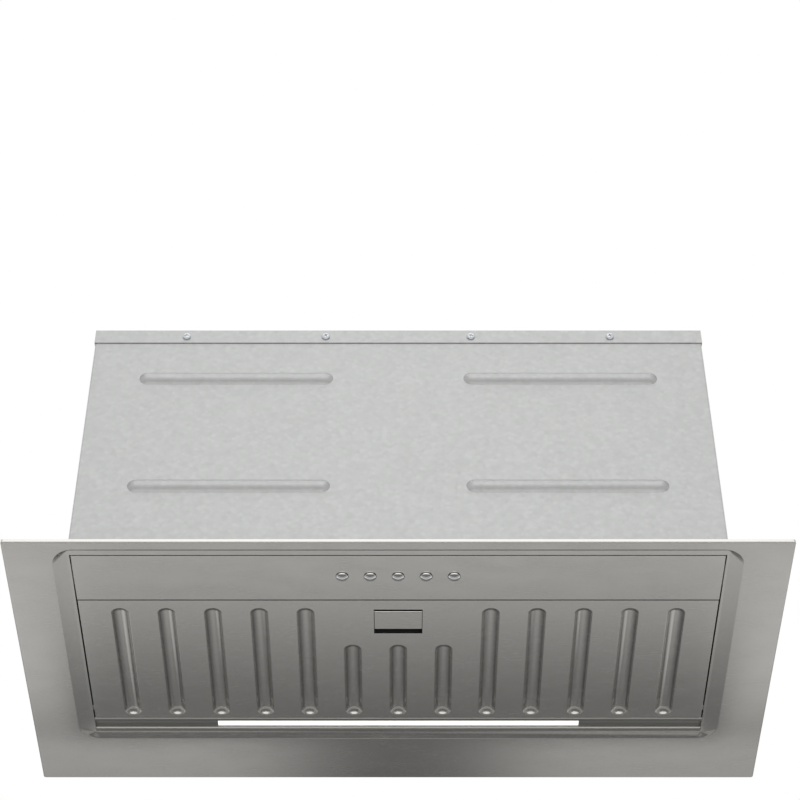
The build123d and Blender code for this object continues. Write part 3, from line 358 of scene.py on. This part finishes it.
def grease_mesh(node):
    """A grid poked and joined into diamonds, folded, and drawn as strands."""
    corners = [nodes[node].matrix_world @ Vector(c) for c in nodes[node].bound_box]
    low = Vector([min(c[i] for c in corners) for i in range(3)])
    high = Vector([max(c[i] for c in corners) for i in range(3)])
    size = high - low
    centre = (low + high) / 2
    bm = bmesh.new()
    flat = Matrix.Translation(centre) @ Matrix.Diagonal((size.x - STRAND, size.y - STRAND, 1, 1))
    bmesh.ops.create_grid(bm, x_segments=2 * PLEATS, y_segments=MESH_ROWS, size=0.5, matrix=flat)
    grid_lines = [e for e in bm.edges if not e.is_boundary]
    bmesh.ops.poke(bm, faces=bm.faces)
    bmesh.ops.dissolve_edges(bm, edges=grid_lines, use_verts=False)
    pleat = (size.x - STRAND) / PLEATS
    rise = size.z - 2 * STRAND
    for vert in bm.verts:
        share = (vert.co.x - low.x - STRAND / 2) / pleat % 1
        vert.co.z = low.z + STRAND + rise * (1 - abs(2 * share - 1))
    bmesh.ops.wireframe(bm, faces=bm.faces, thickness=STRAND, offset=0.5, use_replace=True,
                        use_boundary=True, use_even_offset=False)
    place(bm, "grease_mesh", node)


grease_mesh("mesh_pad")

# Sheets, mouldings and turned pieces: copies of the CAD nodes with their hard edges broken
EDGE_ROUND = 0.15 * MM
EDGE_SEGMENTS = 2
FOLD_R = 0.69 * MM


def tight_fold(node):
    """A merged copy whose lower front edge is folded tight: the round's points all go to its corner."""
    bm = merged(node)
    front = min(v.co.y for v in bm.verts)
    under = min(v.co.z for v in bm.verts)
    for vert in bm.verts:
        if vert.co.y < front + FOLD_R and vert.co.z < under + FOLD_R:
            vert.co.y = front
            vert.co.z = under
    bmesh.ops.remove_doubles(bm, verts=bm.verts, dist=MERGE)
    bmesh.ops.dissolve_degenerate(bm, edges=bm.edges, dist=MERGE)
    bmesh.ops.dissolve_limit(bm, angle_limit=FLAT_ANGLE, verts=bm.verts, edges=bm.edges)
    return bm


def eased(bm, node):
    """Breaks the hard edges of a node's merged copy by a small round and sets it in place."""
    hard = [e for e in bm.edges if e.is_manifold and e.calc_face_angle() > HARD_ANGLE]
    bmesh.ops.bevel(bm, geom=hard, offset=EDGE_ROUND, offset_type="OFFSET", segments=EDGE_SEGMENTS,
                    profile=0.5, affect="EDGES", clamp_overlap=True, material=-1)
    piece = place(bm, node + "_dressed", node)
    flat = piece.modifiers.new("Flat faces", "WEIGHTED_NORMAL")
    flat.keep_sharp = True


for name in nodes:
    if name not in screw_nodes and name != "mesh_pad":
        eased(tight_fold(name) if name == "filter_panel" else merged(name), name)

# Floor, well below the hood and below every camera
FLOOR_Z = -2.6
FLOOR_SIZE = 12.0
FLOOR_GLOW = 0.7
FLOOR_COLOUR = colour("#e4e3e0")
bm = bmesh.new()
bmesh.ops.create_grid(bm, x_segments=1, y_segments=1, size=FLOOR_SIZE,
                      matrix=Matrix.Translation((0, 0, FLOOR_Z)))
floor_mesh = bpy.data.meshes.new("floor")
bm.to_mesh(floor_mesh)
bm.free()
floor = bpy.data.objects.new("floor", floor_mesh)
bpy.context.scene.collection.objects.link(floor)
floor_material, tree, shader = start("Pale matt floor")
path = add(tree, "ShaderNodeLightPath")
seen = add(tree, "ShaderNodeMath", {0: path.outputs["Is Camera Ray"], 1: FLOOR_GLOW}, operation="MULTIPLY")
shader.inputs["Base Color"].default_value = FLOOR_COLOUR
shader.inputs["Roughness"].default_value = 0.9
shader.inputs["Emission Color"].default_value = FLOOR_COLOUR
tree.links.new(seen.outputs["Value"], shader.inputs["Emission Strength"])
floor_mesh.materials.append(floor_material)

# World: white to the camera and in reflections, soft grey light for the rest
WORLD_LIGHT = 0.35
world = bpy.data.worlds.new("Studio")
bpy.context.scene.world = world
world.use_nodes = True
sky = world.node_tree
sky.nodes.clear()
path = add(sky, "ShaderNodeLightPath")
seen = add(sky, "ShaderNodeMath", {0: path.outputs["Is Camera Ray"], 1: path.outputs["Is Glossy Ray"]},
           operation="MAXIMUM")
seen = add(sky, "ShaderNodeMath", {0: seen.outputs["Value"], 1: path.outputs["Is Transmission Ray"]},
           operation="MAXIMUM")
level = add(sky, "ShaderNodeMix", {"Factor": seen.outputs["Value"], "A": WORLD_LIGHT, "B": 1.0})
light = add(sky, "ShaderNodeBackground", {"Color": colour("#ffffff"), "Strength": level.outputs["Result"]})
add(sky, "ShaderNodeOutputWorld", {"Surface": light.outputs["Background"]})


# Lamps
def softbox(name, at, size, watts):
    """A rectangular area lamp at a point, turned to face the middle of the hood's seating plane."""
    lamp = bpy.data.lights.new(name, "AREA")
    lamp.shape = "RECTANGLE"
    lamp.size, lamp.size_y = size
    lamp.energy = watts
    box = bpy.data.objects.new(name, lamp)
    box.location = at
    box.rotation_euler = (-Vector(at)).to_track_quat("-Z", "Y").to_euler()
    bpy.context.scene.collection.objects.link(box)


softbox("key", at=(0.0, -2.6, 2.2), size=(2.4, 2.4), watts=14)
softbox("overhead", at=(0.0, 0.4, 3.2), size=(3.0, 3.0), watts=26)
softbox("low_front", at=(0.0, -1.811, -1.575), size=(6.0, 1.84), watts=40)

# Glowing panels and a dark card for the underside's reflections, hidden from the camera: painted reflections,
# whose glow paints light and shade into the steel
PANEL_HALF = 1.2


def reflected_panel(name, top, bottom):
    """A glowing sheet between two (y, z) edges, seen only in reflections, where its glow is painted light and
    shade; gives its node tree and its shader.
    """
    bm = bmesh.new()
    edge = [bm.verts.new((x, *top)) for x in (-PANEL_HALF, PANEL_HALF)]
    drop = Vector((0, bottom[0] - top[0], bottom[1] - top[1]))
    made = bmesh.ops.extrude_edge_only(bm, edges=[bm.edges.new(edge)])
    bmesh.ops.translate(bm, verts=[v for v in made["geom"] if isinstance(v, bmesh.types.BMVert)], vec=drop)
    mesh = bpy.data.meshes.new(name)
    bm.to_mesh(mesh)
    bm.free()
    panel = bpy.data.objects.new(name, mesh)
    bpy.context.scene.collection.objects.link(panel)
    panel.visible_camera = False
    panel.visible_shadow = False
    material, tree, shader = start(name)
    mesh.materials.append(material)
    shader.inputs["Base Color"].default_value = colour("#000000")
    shader.inputs["Specular IOR Level"].default_value = 0.0
    shader.inputs["Emission Color"].default_value = colour("#ffffff")
    return tree, shader


def side_and_depth(tree):
    """Distance of a panel's point from the hood's middle plane, and its depth below the seating plane."""
    spot = add(tree, "ShaderNodeTexCoord").outputs["Object"]
    axes = add(tree, "ShaderNodeSeparateXYZ", {"Vector": spot})
    side = add(tree, "ShaderNodeMath", {0: axes.outputs["X"]}, operation="ABSOLUTE")
    depth = add(tree, "ShaderNodeMath", {0: axes.outputs["Z"], 1: -1.0}, operation="MULTIPLY")
    return side.outputs["Value"], depth.outputs["Value"]


# Near panel, leaning back, a painted reflection: dim under the hood's back edge, a painted shadow of the
# hood, brighter with depth, with painted light at the sides
NEAR_DEPTH = 0.62
NEAR_CURVE = 2.2
SIDES_LEAN = -0.26
tree, shader = reflected_panel("near_panel", top=(0.175, -0.065), bottom=(0.771, -0.9))
side, depth = side_and_depth(tree)
# Painted shadow of the hood: the glow rises from dim at the top to bright with depth
fall = add(tree, "ShaderNodeMapRange", {"Value": depth, "From Max": NEAR_DEPTH})
fall = add(tree, "ShaderNodeMath", {0: fall.outputs["Result"], 1: NEAR_CURVE}, operation="POWER")
fall = add(tree, "ShaderNodeMapRange", {"Value": fall.outputs["Value"], "To Min": 0.17, "To Max": 0.9})
# Painted light at both sides, beyond a line that leans outward with depth
lean = add(tree, "ShaderNodeMath", {0: depth, 1: SIDES_LEAN, 2: side}, operation="MULTIPLY_ADD")
edge = add(tree, "ShaderNodeMapRange", {"Value": lean.outputs["Value"], "From Min": 0.24, "From Max": 0.275},
           interpolation_type="SMOOTHSTEP")
lit = add(tree, "ShaderNodeMapRange", {"Value": depth, "From Min": 0.08, "From Max": 0.22, "To Min": 0.42,
                                       "To Max": 0.8})
lit = add(tree, "ShaderNodeMath", {0: edge.outputs["Result"], 1: lit.outputs["Result"]}, operation="MULTIPLY")
glow = add(tree, "ShaderNodeMath", {0: fall.outputs["Result"], 1: lit.outputs["Value"]}, operation="MAXIMUM")
tree.links.new(glow.outputs["Value"], shader.inputs["Emission Strength"])

# Far panel, a painted reflection: a bright band above the seating plane, painted shade under it, painted
# light again lower down at both sides
FAR_GLOW = 0.06
tree, shader = reflected_panel("far_panel", top=(0.8, 0.3), bottom=(0.8, -0.9))
side, depth = side_and_depth(tree)
below = add(tree, "ShaderNodeMapRange", {"Value": depth, "From Min": 0.25, "From Max": 0.5},
            interpolation_type="SMOOTHSTEP")
edge = add(tree, "ShaderNodeMapRange", {"Value": side, "From Min": 0.03, "From Max": 0.22, "To Min": 0.12,
                                        "To Max": 0.57}, interpolation_type="SMOOTHSTEP")
glow = add(tree, "ShaderNodeMath", {0: below.outputs["Result"], 1: edge.outputs["Result"], 2: FAR_GLOW},
           operation="MULTIPLY_ADD")
# Painted bright band just above the seating plane, across the middle
above = add(tree, "ShaderNodeMapRange", {"Value": depth, "From Min": 0.08, "From Max": 0.0})
middle = add(tree, "ShaderNodeMapRange", {"Value": side, "From Min": 1.1, "From Max": 0.9})
bright_band = add(tree, "ShaderNodeMath", {0: above.outputs["Result"], 1: middle.outputs["Result"]},
             operation="MULTIPLY")
glow = add(tree, "ShaderNodeMath", {0: glow.outputs["Value"], 1: bright_band.outputs["Value"]},
           operation="MAXIMUM")
tree.links.new(glow.outputs["Value"], shader.inputs["Emission Strength"])

# Dark card under the hood: a dim sheet of painted shade, which the recess's rear slope reflects
CARD_GLOW = 0.16
tree, shader = reflected_panel("painted_shade_card", top=(-0.5, -1.0), bottom=(0.2, -1.0))
shader.inputs["Emission Strength"].default_value = CARD_GLOW

# Camera: below the front edge, looking up at 45 degrees
CAMERA_TURN = math.radians(135.15)
camera = bpy.data.objects.new("camera", bpy.data.cameras.new("camera"))
camera.location = (0.0014, -1.427, -1.135)
camera.rotation_euler = (CAMERA_TURN, 0, 0)
camera.data.lens = 101.8
camera.data.sensor_width = 36.0
camera.data.clip_end = 50.0
bpy.context.scene.collection.objects.link(camera)
bpy.context.scene.camera = camera
bpy.context.scene.view_settings.view_transform = "Standard"
